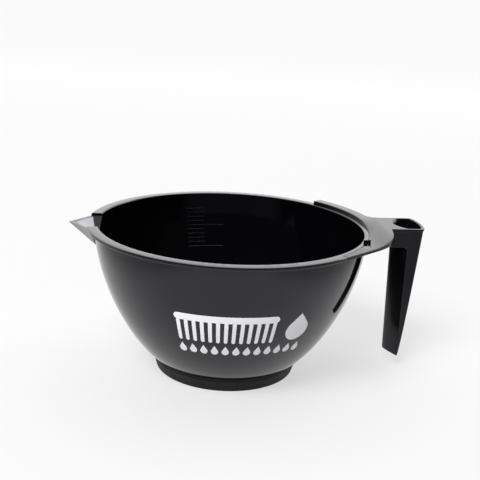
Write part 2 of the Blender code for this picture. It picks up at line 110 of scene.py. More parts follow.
# Graduation ridges inside the bowl
RIDGE_COUNT = 10
RIDGE_FIRST_DEPTH = 8.0
RIDGE_PITCH = 2.1
RIDGE_PROUD = 0.25
RIDGE_WIDTH = 0.7
RIDGE_START_ANGLE = 105.0
RIDGE_SHORT_SPAN = 9.0
RIDGE_LONG_SPAN = 19.0
RIDGE_LONG_EVERY = 5
RIDGE_SHOULDER_PROUD = 0.8 # shares of a ridge's height and width
RIDGE_SHOULDER_WIDTH = 0.7

# Handle
SEAM = 0.08                # what is left open between the handle and its seat
SEAT_START_ANGLE = -50.0
SEAT_END_ANGLE = 41.0
SEAT_RADIUS = 62.2
SEAT_TONGUE_RADIUS = 64.7
SEAT_TONGUE_TOP = RIM_HEIGHT - 0.9
EAR_THICKNESS = 1.5
EAR_TANGENT_ANGLE = -51.7
EAR_RADIUS = 73.1
EAR_CORNER_POWER = 42.0
EAR_FAR_RADIUS = 67.8
EAR_FAR_FILLET = 6.0
EAR_SIDE_REACH = 80.0      # beyond this angle the straight side has long left the ear
LAP_PAST_ANGLE = 2.0
RAIL_HEIGHT = 1.55
RAIL_EDGE_DROP = 0.12
RAIL_DROP_START = 0.3
RAIL_FADE_ANGLE = 8.0
RAIL_END_ANGLE = -21.0
HEAD_TOP = RIM_HEIGHT + 1.4
HEAD_HALF_WIDTH = 10.4
HEAD_RAMP_X = 58.0
HEAD_LEVEL_X = 70.5
WEB_THICKNESS = 1.5
WEB_INNER_X = 72.9
WEB_BOTTOM = 60.6
WEB_FILLET = 1.6
GRIP_INNER_X = 80.7
GRIP_INNER_BULGE = 5.3
GRIP_INNER_POWER = 1.3     # 2 is a plain arc, 1 is a ridge
GRIP_OUTER_BULGE = 2.4
GRIP_OUTER_X = GRIP_REACH - GRIP_OUTER_BULGE
GRIP_FOOT_OUTER_X = 81.3
GRIP_FOOT_INNER_BULGE = 3.8
GRIP_FOOT_OUTER_BULGE = 0.8
GRIP_TAPER_POWER = 0.78
GRIP_WALL = 1.3
GRIP_LIP_PROUD = 0.25
GRIP_LIP_HEIGHT = 0.8
GRIP_LIP_SLOPE = 0.3
GRIP_FULLNESS = 1.15       # the inner bulge is complete a little below the top
FUSE_OVERLAP = 0.5         # how far the handle's solids reach into each other before they fuse
HEAD_UNDERLAP = 0.1
BLANK_BELOW_TOP = 0.2
WEB_ABOVE_RIM = 0.3
SOCKET_FLOOR_HEIGHT = 28.0
SOCKET_INNER_POWER = 2.0   # the hollow is rounder than the outside
SOCKET_BULGE_LESS = 0.9
SOCKET_LEAD = 1.5
HANDLE_VOXEL = 0.24
HANDLE_SMOOTH_PASSES = 3
HANDLE_KEEP = 0.3

# Blind slot across the seam of the rim and the ear
SLOT_BACK_Y = -23.9
SLOT_FRONT_Y = -36.5
SLOT_BACK_INNER_X = 55.6
SLOT_FRONT_INNER_X = 51.7
SLOT_WIDTH = 3.2
SLOT_DEPTH = 1.4

# Rubber ring
RING_RADIUS = 32.1
RING_LIP_INNER_RADIUS = 26.6
RING_LIP_HEIGHT = 1.3
RING_EDGE_ROUND = 0.6
RING_TOP_ROUND = 0.35
RING_GROOVE_BELOW_TOP = 1.2
RING_GROOVE_HALF = 0.22
RING_GROOVE_DEPTH = 0.3

# Print on the front: a comb, a drop and a row of small drops
PRINT_REFERENCE_RADIUS = 53.0
PRINT_CENTRE_ANGLE = -90.0
PRINT_LIFT = 0.015
PRINT_THICKNESS = 0.03
PRINT_COLUMN = 0.8
PRINT_ROW = 1.2
PRINT_CORNER_STEPS = 6
PRINT_DROP_STEPS = 18
PRINT_LEAST_HALF = 0.02
PRINT_LEFT = -28.0
PRINT_RIGHT = 28.0
PRINT_TOP = 44.6
PRINT_MIDDLE = 31.0
PRINT_ROW_TOP = 29.3
PRINT_ROW_BOTTOM = 24.4
COMB_RIGHT = 13.5
COMB_SPINE = 3.2
COMB_TEETH = 13
COMB_TOOTH_WIDTH = 1.55
COMB_TOOTH_OVERLAP = 0.4
BIG_DROP_WIDTH = 10.5
BIG_DROP_CENTRE = 23.0
SMALL_DROPS = 12
SMALL_DROP_WIDTH = 3.3

# Mesh density
TURN_STEPS = 240
WALL_POINTS = 72
WALL_CROWDING = 1.5        # above 1 sets the wall's points closer near the foot
ROUND_POINTS = 8
RIM_ROOT_POINTS = 6
SECTOR_STEP_ANGLE = 1.5
HULL_ROUND_SEGMENTS = 4
FLAT_ANGLE = 1.0
EAR_TURNS = 150
EAR_ROWS = 22
GRIP_POINTS = 28
GRIP_LEVELS = 40
SOCKET_LEVELS = 16
POLE_RADIUS = 1e-6
SHARP_ANGLE = 32.0
RING_SHARP_ANGLE = 40.0

# Camera, about the bowl's axis and turned away from the handle's own direction
VIEW_TURN = 8.0
CAMERA_DISTANCE = 393.66
CAMERA_HEIGHT = 174.08
CAMERA_YAW = 0.635
CAMERA_PITCH = 16.078
CAMERA_ROLL = 3.1005
CAMERA_LENS = 67.257
CAMERA_SENSOR = 36.0
CLIP_START = 0.01
CLIP_END = 100.0

# Materials and studio; floor and sheet lengths are metres, lamp places millimetres
PLASTIC_TINT = (0.94, 0.92, 1.0, 1.0)
FLOOR_SIZE = 60.0
FLOOR_DROP = 0.00005
FLOOR_ALBEDO = 0.16
FLOOR_SHADE = 0.98         # the floor's darker clouds
FLOOR_GLOW = 0.58
FAR_GLOW = 1.2             # makes up for the key lamp, which does not reach the far floor
FAR_START = 0.1
FAR_END = 1.2
SHEET_MARGIN = 0.015       # the lit sheet of floor reaches this far beyond the view
SHEET_FADE = 0.06
SHEET_FRONT = -0.17
SHEET_FRONT_FADE = 0.12
BEYOND_SHEET = 0.45
LIGHT_BACK = 1.72
BACK_START = -0.15         # how far round the sky the back light starts and is full
BACK_FULL = 0.35
LIGHT_TOP = 1.0
TOP_START = 0.8            # how high up the sky the top light starts and is full
TOP_FULL = 0.97
LIGHT_FRONT = 0.02
KEY_PLACE = (-550.0, -1050.0, 1300.0)
KEY_SIZE = 800.0
KEY_POWER = 60.0
SPARKLE_PLACE = (970.0, 775.0, 930.0)
SPARKLE_SIZE = 350.0
SPARKLE_POWER = 3.3


# ---------------------------------------------------------------- geometry helpers

def polar(radius, angle):
    return radius * math.cos(math.radians(angle)), radius * math.sin(math.radians(angle))


def smooth_step(low, high, value):
    share = min(max((value - low) / (high - low), 0.0), 1.0)
    return share * share * (3 - 2 * share)


def arc(centre_r, centre_z, radius, start, end, count=ROUND_POINTS):
    points = []
    for index in range(count):
        angle = math.radians(start + (end - start) * index / (count - 1))
        points.append((centre_r + radius * math.cos(angle), centre_z + radius * math.sin(angle)))
    return points


def finish_mesh(name, body):
    """A bmesh in millimetres about the bowl's axis, as an object in the frame."""
    bmesh.ops.recalc_face_normals(body, faces=body.faces)
    mesh = bpy.data.meshes.new(name)
    body.to_mesh(mesh)
    body.free()
    mesh.transform(Matrix.Translation((AXIS_X, 0, 0)) @ Matrix.Scale(MM, 4))
    piece = bpy.data.objects.new(name, mesh)
    bpy.context.scene.collection.objects.link(piece)
    return piece


def revolve(name, profile, closed=False):
    """A (radius, height) profile turned about the axis; radius 0 makes a pole."""
    body = bmesh.new()
    rows = []
    for radius, z in profile:
        if radius < POLE_RADIUS:
            rows.append([body.verts.new((0, 0, z))])
            continue
        ring = []
        for step in range(TURN_STEPS):
            x, y = polar(radius, 360 * step / TURN_STEPS)
            ring.append(body.verts.new((x, y, z)))
        rows.append(ring)
    pairs = list(zip(rows, rows[1:]))
    if closed:
        pairs.append((rows[-1], rows[0]))
    for first, second in pairs:
        for k in range(TURN_STEPS):
            after = (k + 1) % TURN_STEPS
            corners = [first[k % len(first)], first[after % len(first)]]
            corners += [second[after % len(second)], second[k % len(second)]]
            body.faces.new(list(dict.fromkeys(corners)))
    return finish_mesh(name, body)


def loft(name, rings):
    """A closed solid through rings of points, with a face over each end."""
    body = bmesh.new()
    rows = [[body.verts.new(point) for point in ring] for ring in rings]
    count = len(rows[0])
    for first, second in zip(rows, rows[1:]):
        for k in range(count):
            after = (k + 1) % count
            body.faces.new((first[k], first[after], second[after], second[k]))
    body.faces.new(rows[0])
    body.faces.new(rows[-1])
    return finish_mesh(name, body)


def sector(name, profile, start, sweep):
    """A closed (radius, height) profile carried part of the way round the axis."""
    steps = max(2, round(sweep / SECTOR_STEP_ANGLE))
    rings = []
    for index in range(steps + 1):
        angle = start + sweep * index / steps
        rings.append([(*polar(radius, angle), z) for radius, z in profile])
    return loft(name, rings)


def hull(name, points, rounding=0.0):
    """The convex solid around a set of points, its edges rounded."""
    body = bmesh.new()
    for point in points:
        body.verts.new(point)
    result = bmesh.ops.convex_hull(body, input=body.verts)
    loose = [item for item in result["geom_interior"] if isinstance(item, bmesh.types.BMVert)]
    bmesh.ops.delete(body, geom=loose, context="VERTS")
    flat = math.radians(FLAT_ANGLE)
    bmesh.ops.dissolve_limit(body, angle_limit=flat, verts=body.verts, edges=body.edges)
    if rounding:
        bmesh.ops.bevel(body, geom=body.edges[:], offset=rounding, segments=HULL_ROUND_SEGMENTS,
                        profile=0.5, affect="EDGES")
    return finish_mesh(name, body)


def cut(target, tools, operation="DIFFERENCE"):
    """Applies boolean tools to a piece and removes them."""
    for tool in tools:
        modifier = target.modifiers.new(tool.name, "BOOLEAN")
        modifier.operation = operation
        modifier.solver = "EXACT"
        modifier.object = tool
    settle(target)
    for tool in tools:
        bpy.data.objects.remove(tool, do_unlink=True)
    return target


def settle(piece):
    """Replaces a piece's mesh by the result of its modifiers."""
    bpy.context.view_layer.update()
    evaluated = piece.evaluated_get(bpy.context.evaluated_depsgraph_get())
    mesh = bpy.data.meshes.new_from_object(evaluated)
    piece.modifiers.clear()
    piece.data = mesh


def copy_tool(tool, name):
    twin = bpy.data.objects.new(name, tool.data.copy())
    bpy.context.scene.collection.objects.link(twin)
    return twin


def shade(piece, angle=SHARP_ANGLE):
    piece.data.shade_smooth()
    piece.data.set_sharp_from_angle(angle=math.radians(angle))


# ---------------------------------------------------------------- bowl

def wall_radius(height):
    """Outside radius of the wall at a height."""
    span = RIM_HEIGHT - RIM_THICKNESS - WALL_FOOT_HEIGHT
    share = min(max((height - WALL_FOOT_HEIGHT) / span, 0.0), 1.0)
    rise = (1 - (1 - share) ** WALL_HEIGHT_POWER) ** (1 / WALL_RADIUS_POWER)
    return WALL_FOOT_RADIUS + (WALL_TOP_RADIUS - WALL_FOOT_RADIUS) * rise


def wall_outline(bottom):
    """The wall's outer outline from under the rim down, closer set near the foot."""
    top = RIM_HEIGHT - RIM_THICKNESS
    points = []
    for index in range(WALL_POINTS + 1):
        share = (1 - index / WALL_POINTS) ** WALL_CROWDING
        height = bottom + (top - bottom) * share
        points.append((wall_radius(height), height))
    return points


def wall_inside():
    """The outer outline moved in by the wall's thickness, square to the surface."""
    outside = wall_outline(WALL_FOOT_HEIGHT + WALL_LOWEST)
    points = []
    for before, here, after in zip(outside, outside[1:-1], outside[2:]):
        along_r = after[0] - before[0]
        along_z = after[1] - before[1]
        length = math.hypot(along_r, along_z)
        points.append((here[0] + along_z / length * WALL_THICKNESS,
                       here[1] - along_r / length * WALL_THICKNESS))
    return points


def inside_radius(height):
    """Inside radius of the wall at a height."""
    points = wall_inside()
    for (upper_r, upper_z), (lower_r, lower_z) in zip(points, points[1:]):
        if lower_z <= height <= upper_z:
            share = (height - lower_z) / (upper_z - lower_z)
            return lower_r + (upper_r - lower_r) * share
    return RIM_INNER_RADIUS


def bowl_outside_profile():
    edge_r = RIM_RADIUS - RIM_EDGE_ROUND
    underside = RIM_HEIGHT - RIM_THICKNESS
    profile = [(0.0, RIM_HEIGHT), (RIM_INNER_RADIUS - RIM_TOP_RUN, RIM_HEIGHT)]
    profile += arc(edge_r, RIM_HEIGHT - RIM_EDGE_ROUND, RIM_EDGE_ROUND, 90, 0)
    profile += arc(edge_r, underside + RIM_EDGE_ROUND, RIM_EDGE_ROUND, 0, -90)
    root_r = wall_radius(underside - RIM_ROOT_ROUND) + RIM_ROOT_ROUND
    profile += arc(root_r, underside - RIM_ROOT_ROUND, RIM_ROOT_ROUND, 90, 180, RIM_ROOT_POINTS)
    profile += [point for point in wall_outline(FOOT_TOP) if point[1] < underside - RIM_ROOT_ROUND]
    profile += [(FOOT_RADIUS, FOOT_TOP), (FOOT_RADIUS, FOOT_BOTTOM)]
    profile += [(FOOT_INNER_RADIUS, FOOT_BOTTOM), (FOOT_INNER_RADIUS, FOOT_RECESS_HEIGHT)]
    profile.append((0.0, FOOT_RECESS_HEIGHT))
    return profile


def cavity_profile():
    above = RIM_HEIGHT + CUTTER_PAST
    lip_r = RIM_INNER_RADIUS + RIM_EDGE_ROUND
    profile = [(0.0, above), (lip_r, above)]
    profile += arc(lip_r, RIM_HEIGHT - RIM_EDGE_ROUND, RIM_EDGE_ROUND, 90, 180)
    inside = [point for point in wall_inside() if point[1] > FLOOR_HEIGHT + FLOOR_CORNER_HEIGHT]
    profile += [point for point in inside if point[1] < RIM_HEIGHT - LIP_DEPTH]
    last_r, last_z = inside[-1]
    left = last_z - FLOOR_HEIGHT
    corner_r = last_r - left * FLOOR_CORNER_SPREAD
    profile.append(((last_r + corner_r) / 2, FLOOR_HEIGHT + left * FLOOR_CORNER_SAG))
    profile += [(corner_r, FLOOR_HEIGHT), (0.0, FLOOR_HEIGHT)]
    return profile


def along_beak(points):
    """Points laid out along -X, turned to the beak's own direction."""
    cosine = math.cos(math.radians(BEAK_TURN))
    sine = math.sin(math.radians(BEAK_TURN))
    return [(x * cosine - y * sine, x * sine + y * cosine, z) for x, y, z in points]


def beak_blank():
    blunt = BEAK_TIP_BLUNT
    points = [(-BEAK_REACH, 0, BEAK_TOP), (-BEAK_REACH + blunt, 0, BEAK_TOP - blunt)]
    for side in (-1, 1):
        points.append((-BEAK_CORNER_X, side * BEAK_CORNER_Y, BEAK_TOP))
        points.append((-BEAK_ROOT_X, side * BEAK_CORNER_Y, BEAK_TOP))
    points += [(-BEAK_KEEL_X, 0, BEAK_KEEL_HEIGHT), (-BEAK_ROOT_X, 0, BEAK_KEEL_HEIGHT)]
    return hull("beak_blank", along_beak(points))


def beak_channel():
    """V-shaped way from the bowl to the tip, a wall's thickness inside the beak."""
    tip_x = BEAK_REACH - BEAK_TIP_WALL
    corner_x = BEAK_CORNER_X - BEAK_CORNER_INSET
    corner_y = BEAK_CORNER_Y - BEAK_SIDE_WALL
    keel_z = BEAK_KEEL_HEIGHT + BEAK_KEEL_WALL
    inside_x = BEAK_ROOT_X - BEAK_CHANNEL_RUN
    heights = (BEAK_TOP, BEAK_TOP + CUTTER_PAST)
    points = [(-tip_x, 0, z) for z in heights]
    for side in (-1, 1):
        for x in (corner_x, inside_x):
            points += [(-x, side * corner_y, z) for z in heights]
    points += [(-BEAK_KEEL_X + BEAK_KEEL_INSET, 0, keel_z), (-inside_x, 0, keel_z)]
    return hull("beak_channel", along_beak(points), BEAK_EDGE_ROUND)


def rim_gap():
    """Square-ended break in the rim where the beak leaves it."""
    points = []
    for x in (-BEAK_REACH - CUTTER_PAST, -BEAK_ROOT_X + RIM_GAP_RUN):
        for y in (-BEAK_RIM_GAP, BEAK_RIM_GAP):
            points += [(x, y, BEAK_TOP), (x, y, RIM_HEIGHT + CUTTER_PAST)]
    return hull("rim_gap", along_beak(points))


def slot_tool():
    points = []
    for z in (RIM_HEIGHT - SLOT_DEPTH, RIM_HEIGHT + CUTTER_PAST):
        for y, x in ((SLOT_BACK_Y, SLOT_BACK_INNER_X), (SLOT_FRONT_Y, SLOT_FRONT_INNER_X)):
            points += [(x, y, z), (x + SLOT_WIDTH, y, z)]
    return hull("slot", points)


def seat_tool():
    """Takes the rim down to a tongue over the handle's sector."""
    above = RIM_HEIGHT + CUTTER_PAST
    below = RIM_HEIGHT - RIM_THICKNESS - CUTTER_PAST
    beyond = RIM_RADIUS + CUTTER_PAST
    profile = [(SEAT_RADIUS, above), (beyond, above), (beyond, below)]
    profile += [(SEAT_TONGUE_RADIUS, below), (SEAT_TONGUE_RADIUS, SEAT_TONGUE_TOP)]
    profile.append((SEAT_RADIUS, SEAT_TONGUE_TOP))
    return sector("seat", profile, SEAT_START_ANGLE, SEAT_END_ANGLE - SEAT_START_ANGLE)


def graduation_ridges():
    ridges = []
    for index in range(RIDGE_COUNT):
        height = RIM_HEIGHT - RIDGE_FIRST_DEPTH - RIDGE_PITCH * index
        long_line = (index + 1) % RIDGE_LONG_EVERY == 0
        span = RIDGE_LONG_SPAN if long_line else RIDGE_SHORT_SPAN
        radius = inside_radius(height)
        outer = radius + WALL_THICKNESS / 2
        half = RIDGE_WIDTH / 2
        shoulder_r = radius - RIDGE_PROUD * RIDGE_SHOULDER_PROUD
        shoulder_half = half * RIDGE_SHOULDER_WIDTH
        profile = [(outer, height + half), (radius, height + half)]
        profile += [(shoulder_r, height + shoulder_half), (radius - RIDGE_PROUD, height)]
        profile += [(shoulder_r, height - shoulder_half), (radius, height - half)]
        profile.append((outer, height - half))
        ridges.append(sector(f"ridge_{index:02d}", profile, RIDGE_START_ANGLE - span, span))
    return ridges


def build_bowl():
    bowl = revolve("bowl_shell_visual", bowl_outside_profile())
    cut(bowl, [beak_blank()], "UNION")
    cavity = revolve("cavity", cavity_profile())
    cut(bowl, [cavity, beak_channel(), rim_gap(), seat_tool(), slot_tool()])
    cut(bowl, graduation_ridges(), "UNION")
    shade(bowl)
    return bowl


# ---------------------------------------------------------------- handle

def ear_outer_radius(angle):
    """The ear's edge: the wing, the arc under the head, a fillet, then the width of the rail."""
    fillet_y = HEAD_HALF_WIDTH + EAR_FAR_FILLET
    fillet_x = math.sqrt((EAR_FAR_RADIUS + EAR_FAR_FILLET) ** 2 - fillet_y ** 2)
    far_angle = math.degrees(math.atan2(fillet_y, fillet_x))
    near_angle = math.degrees(math.asin(HEAD_HALF_WIDTH / EAR_RADIUS))
    if angle >= far_angle:
        return EAR_FAR_RADIUS
    if angle > near_angle:
        direction = Vector(polar(1.0, angle))
        centre = Vector((fillet_x, fillet_y))
        along = centre.dot(direction)
        inside = EAR_FAR_FILLET ** 2 - (centre.length_squared - along ** 2)
        return min(EAR_RADIUS, along - math.sqrt(max(inside, 0.0)))
    away = min(angle - EAR_TANGENT_ANGLE, EAR_SIDE_REACH)
    side = RIM_RADIUS / math.cos(math.radians(away))
    power = EAR_CORNER_POWER
    return (side ** -power + EAR_RADIUS ** -power) ** (-1 / power)


def ear_top(radius, angle):
    """Height of the ear's upper surface: rim level, the rounded rail and the rise to the head."""
    inner = SEAT_RADIUS + SEAM
    x, y = polar(radius, angle)
    fade = smooth_step(RAIL_END_ANGLE, RAIL_FADE_ANGLE, angle)
    across = (radius - inner) / (EAR_FAR_RADIUS - inner)
    rail = (RAIL_HEIGHT - RAIL_EDGE_DROP * smooth_step(RAIL_DROP_START, 1.0, across)) * fade
    rise = smooth_step(HEAD_RAMP_X, HEAD_LEVEL_X, x)
    head = (HEAD_TOP - RIM_HEIGHT) * rise
    return RIM_HEIGHT + max(rail, head)


def build_ear():
    """A slab on a grid of angle and radius, with a lap under its inner edge."""
    gap_angle = math.degrees(SEAM / RIM_RADIUS)
    start = SEAT_START_ANGLE + gap_angle
    end = SEAT_END_ANGLE - gap_angle
    turns = EAR_TURNS
    rows = EAR_ROWS
    inner = SEAT_RADIUS + SEAM
    body = bmesh.new()
    top = []
    bottom = []
    for i in range(turns + 1):
        angle = start + (end - start) * i / turns
        outer = ear_outer_radius(angle)
        top_row = []
        bottom_row = []
        for j in range(rows + 1):
            radius = inner + (outer - inner) * j / rows
            x, y = polar(radius, angle)
            top_row.append(body.verts.new((x, y, ear_top(radius, angle))))
            bottom_row.append(body.verts.new((x, y, RIM_HEIGHT - EAR_THICKNESS)))
        top.append(top_row)
        bottom.append(bottom_row)
    for i in range(turns):
        for j in range(rows):
            for grid in (top, bottom):
                body.faces.new((grid[i][j], grid[i + 1][j], grid[i + 1][j + 1], grid[i][j + 1]))
    for i in range(turns):
        for j in (0, rows):
            body.faces.new((top[i][j], top[i + 1][j], bottom[i + 1][j], bottom[i][j]))
    for j in range(rows):
        for i in (0, turns):
            body.faces.new((top[i][j], top[i][j + 1], bottom[i][j + 1], bottom[i][j]))
    return finish_mesh("ear", body)


def ear_lap_tool():
    """Underside step that sits over the rim's tongue."""
    below = RIM_HEIGHT - EAR_THICKNESS - CUTTER_PAST
    top = SEAT_TONGUE_TOP + SEAM
    inner = SEAT_RADIUS - 1
    outer = SEAT_TONGUE_RADIUS + SEAM
    profile = [(inner, top), (outer, top), (outer, below), (inner, below)]
    sweep = SEAT_END_ANGLE - SEAT_START_ANGLE + 2 * LAP_PAST_ANGLE
    return sector("ear_lap", profile, SEAT_START_ANGLE - LAP_PAST_ANGLE, sweep)


def grip_point(side, turn, height, inset):
    """A point of the grip's outline: side +1 away from the bowl, -1 toward it, turn -90 to 90."""
    share = (min(height, HEAD_TOP) - GRIP_FOOT_HEIGHT) / (HEAD_TOP - GRIP_FOOT_HEIGHT)
    y = (HEAD_HALF_WIDTH - inset) * math.sin(math.radians(turn))
    if side > 0:
        taper = share ** GRIP_TAPER_POWER
        corner = GRIP_FOOT_OUTER_X + (GRIP_OUTER_X - GRIP_FOOT_OUTER_X) * taper
        bulge = GRIP_FOOT_OUTER_BULGE + (GRIP_OUTER_BULGE - GRIP_FOOT_OUTER_BULGE) * share
        return corner - inset + bulge * math.cos(math.radians(turn)), y
    fullness = min(1, share * GRIP_FULLNESS)
    bulge = GRIP_FOOT_INNER_BULGE + (GRIP_INNER_BULGE - GRIP_FOOT_INNER_BULGE) * fullness
    power = GRIP_INNER_POWER + (SOCKET_INNER_POWER - GRIP_INNER_POWER) * inset / GRIP_WALL
    bow = 1 - abs(math.sin(math.radians(turn))) ** power
    bulge -= SOCKET_BULGE_LESS * inset / GRIP_WALL
    return GRIP_INNER_X + inset - bulge * bow, y


def grip_turns():
    """Both curved sides in order round the outline: side and turning angle."""
    turns = [-90 + 180 * index / GRIP_POINTS for index in range(GRIP_POINTS + 1)]
    return [(1, turn) for turn in turns] + [(-1, turn) for turn in reversed(turns)]


def build_grip_blank():
    rings = []
    rise = HEAD_TOP - BLANK_BELOW_TOP - GRIP_FOOT_HEIGHT
    for level in range(GRIP_LEVELS + 1):
        height = GRIP_FOOT_HEIGHT + rise * level / GRIP_LEVELS
        ring = []
        for side, turn in grip_turns():
            x, y = grip_point(side, turn, height, GRIP_LIP_PROUD if side > 0 else 0.0)
            ring.append((x, y, height))
        rings.append(ring)
    return loft("grip_blank", rings)


def build_grip_lip():
    """Narrow lip round the mouth of the grip."""
    rings = []
    lip_z = HEAD_TOP - GRIP_LIP_HEIGHT
    for height, inset in ((lip_z - GRIP_LIP_SLOPE, GRIP_LIP_PROUD), (lip_z, 0.0), (HEAD_TOP, 0.0)):
        ring = []
        for side, turn in grip_turns():
            x, y = grip_point(side, turn, height, inset)
            ring.append((x, y, height))
        rings.append(ring)
    return loft("grip_lip", rings)


def build_head_plate():
    bottom = RIM_HEIGHT - HEAD_UNDERLAP
    points = []
    for x in (HEAD_LEVEL_X + FUSE_OVERLAP, GRIP_INNER_X + FUSE_OVERLAP):
        for y in (-HEAD_HALF_WIDTH, HEAD_HALF_WIDTH):
            points += [(x, y, bottom), (x, y, HEAD_TOP)]
    return hull("head_plate", points)


def build_web(side):
    """Side web under the head, rounded into the grip at its lower corner."""
    top = RIM_HEIGHT + WEB_ABOVE_RIM
    back_x = GRIP_INNER_X + FUSE_OVERLAP
    fillet_x = GRIP_INNER_X - WEB_FILLET
    outline = [(back_x, top), (WEB_INNER_X, top), (WEB_INNER_X, WEB_BOTTOM)]
    outline += arc(fillet_x, WEB_BOTTOM - WEB_FILLET, WEB_FILLET, 90, 0)
    outline.append((back_x, WEB_BOTTOM - WEB_FILLET))
    edge = HEAD_HALF_WIDTH - GRIP_LIP_PROUD / 2
    rings = []
    for y in (edge - WEB_THICKNESS, edge):
        rings.append([(x, side * y, z) for x, z in outline])
    return loft(f"web_{side:+d}", rings)


def socket_tool():
    """The hollow in the grip, open at the top; its mouth spreads toward the bowl."""
    depth = HEAD_TOP - SOCKET_LEAD - SOCKET_FLOOR_HEIGHT
    levels = []
    for index in range(SOCKET_LEVELS + 1):
        levels.append((SOCKET_FLOOR_HEIGHT + depth * index / SOCKET_LEVELS, 0.0))
    levels += [(HEAD_TOP, SOCKET_LEAD), (HEAD_TOP + CUTTER_PAST, SOCKET_LEAD)]
    rings = []
    for height, lead in levels:
        ring = []
        for side, turn in grip_turns():
            x, y = grip_point(side, turn, height, GRIP_WALL)
            ring.append((x - (lead if side < 0 else 0.0), y, height))
        rings.append(ring)
    return loft("socket", rings)


def join(name, pieces):
    """One object holding the meshes of several."""
    body = bmesh.new()
    for piece in pieces:
        body.from_mesh(piece.data)
    mesh = bpy.data.meshes.new(name)
    body.to_mesh(mesh)
    body.free()
    for piece in pieces:
        bpy.data.objects.remove(piece, do_unlink=True)
    joined = bpy.data.objects.new(name, mesh)
    bpy.context.scene.collection.objects.link(joined)
    return joined


def build_handle():
    """Overlapping solids fused on a fine grid, so that every edge and inner corner is moulded round."""
    socket = socket_tool()
    solids = [cut(build_ear(), [ear_lap_tool(), slot_tool()])]
    plates = [build_head_plate(), build_web(-1), build_web(1)]
    for solid in [build_grip_blank(), build_grip_lip()] + plates:
        solids.append(cut(solid, [copy_tool(socket, "socket_" + solid.name)]))
    bpy.data.objects.remove(socket, do_unlink=True)
    handle = join("handle_visual", solids)
    remesh = handle.modifiers.new("fuse", "REMESH")
    remesh.mode = "VOXEL"
    remesh.voxel_size = HANDLE_VOXEL * MM
    smooth = handle.modifiers.new("round", "SMOOTH")
    smooth.factor = 0.5
    smooth.iterations = HANDLE_SMOOTH_PASSES
    thin = handle.modifiers.new("thin", "DECIMATE")
    thin.ratio = HANDLE_KEEP
    settle(handle)
    handle.data.shade_smooth()
    return handle


# ---------------------------------------------------------------- ring

def build_ring():
    band_inner = FOOT_RADIUS + SEAM
    low = RING_EDGE_ROUND
    slope = (RING_TOP_RADIUS - RING_RADIUS) / (RING_TOP - low)

    def outer(z):
        return RING_RADIUS + slope * (z - low)

    profile = [(band_inner, RING_TOP)]
    top_round = RING_TOP_ROUND
    profile += arc(RING_TOP_RADIUS - top_round, RING_TOP - top_round, top_round, 90, 0)
    groove = RING_TOP - RING_GROOVE_BELOW_TOP
    for index in range(ROUND_POINTS + 1):
        turn = math.pi * index / ROUND_POINTS
        z = groove + RING_GROOVE_HALF * math.cos(turn)
        profile.append((outer(z) - RING_GROOVE_DEPTH * math.sin(turn), z))
    profile += arc(RING_RADIUS - low, low, low, 0, -90)
    profile += [(RING_LIP_INNER_RADIUS, 0.0), (RING_LIP_INNER_RADIUS, RING_LIP_HEIGHT)]
    profile.append((band_inner, RING_LIP_HEIGHT))
    ring = revolve("non_slip_ring_visual", profile, closed=True)
    shade(ring, RING_SHARP_ANGLE)
    return ring


# ---------------------------------------------------------------- print

def on_wall(u, z, lift):
    """A point of the print, u along the wall from its centre, lifted off the wall."""
    angle = PRINT_CENTRE_ANGLE + math.degrees(u / PRINT_REFERENCE_RADIUS)
    x, y = polar(wall_radius(z) + lift, angle)
    return x, y, z


def printed_patch(body, rows):
    """A thin film between the left and right limits given for each height."""
    widest = max(right - left for z, left, right in rows)
    columns = max(2, round(widest / PRINT_COLUMN))
    films = []
    for lift in (PRINT_LIFT, PRINT_LIFT + PRINT_THICKNESS):
        film = []
        for z, left, right in rows:
            line = []
            for k in range(columns + 1):
                u = left + (right - left) * k / columns
                line.append(body.verts.new(on_wall(u, z, lift)))
            film.append(line)
        films.append(film)
    low, high = films
    last = len(rows) - 1
    for i in range(last):
        for k in range(columns):
            for film in films:
                body.faces.new((film[i][k], film[i][k + 1], film[i + 1][k + 1], film[i + 1][k]))
        for k in (0, columns):
            body.faces.new((low[i][k], low[i + 1][k], high[i + 1][k], high[i][k]))
    for k in range(columns):
        for i in (0, last):
            body.faces.new((low[i][k], low[i][k + 1], high[i][k + 1], high[i][k]))


def rounded_bar(left, right, bottom, top, radius):
    """Rows of a bar with rounded corners."""
    rows = []
    steps = PRINT_CORNER_STEPS
    rises = [radius * (1 - math.cos(math.pi / 2 * k / steps)) for k in range(steps + 1)]
    straight = top - bottom - 2 * radius
    middle = max(1, round(straight / PRINT_ROW))
    heights = [bottom + rise for rise in rises]
    heights += [bottom + radius + straight * k / middle for k in range(1, middle)]
    heights += [top - rise for rise in reversed(rises)]
    for z in heights:
        into = max(bottom + radius - z, z - (top - radius), 0.0)
        inset = radius - math.sqrt(max(radius ** 2 - into ** 2, 0.0))
        inset = min(inset, (right - left) / 2 - PRINT_LEAST_HALF)
        rows.append((z, left + inset, right - inset))
    return rows


def drop(centre, bottom, top, width):
    """Rows of a drop: a round belly that runs up to a point."""
    rows = []
    radius = width / 2
    belly = bottom + radius
    lean_angle = math.asin(radius / (top - belly))
    join_z = belly + radius * math.sin(lean_angle)
    for k in range(PRINT_DROP_STEPS + 1):
        z = bottom + (top - bottom) * (1 - math.cos(math.pi * k / PRINT_DROP_STEPS)) / 2
        if z < join_z:
            half = math.sqrt(max(radius ** 2 - (z - belly) ** 2, 0.0))
        else:
            half = (top - z) * math.tan(lean_angle)
        half = max(half, PRINT_LEAST_HALF)
        rows.append((z, centre - half, centre + half))
    return rows


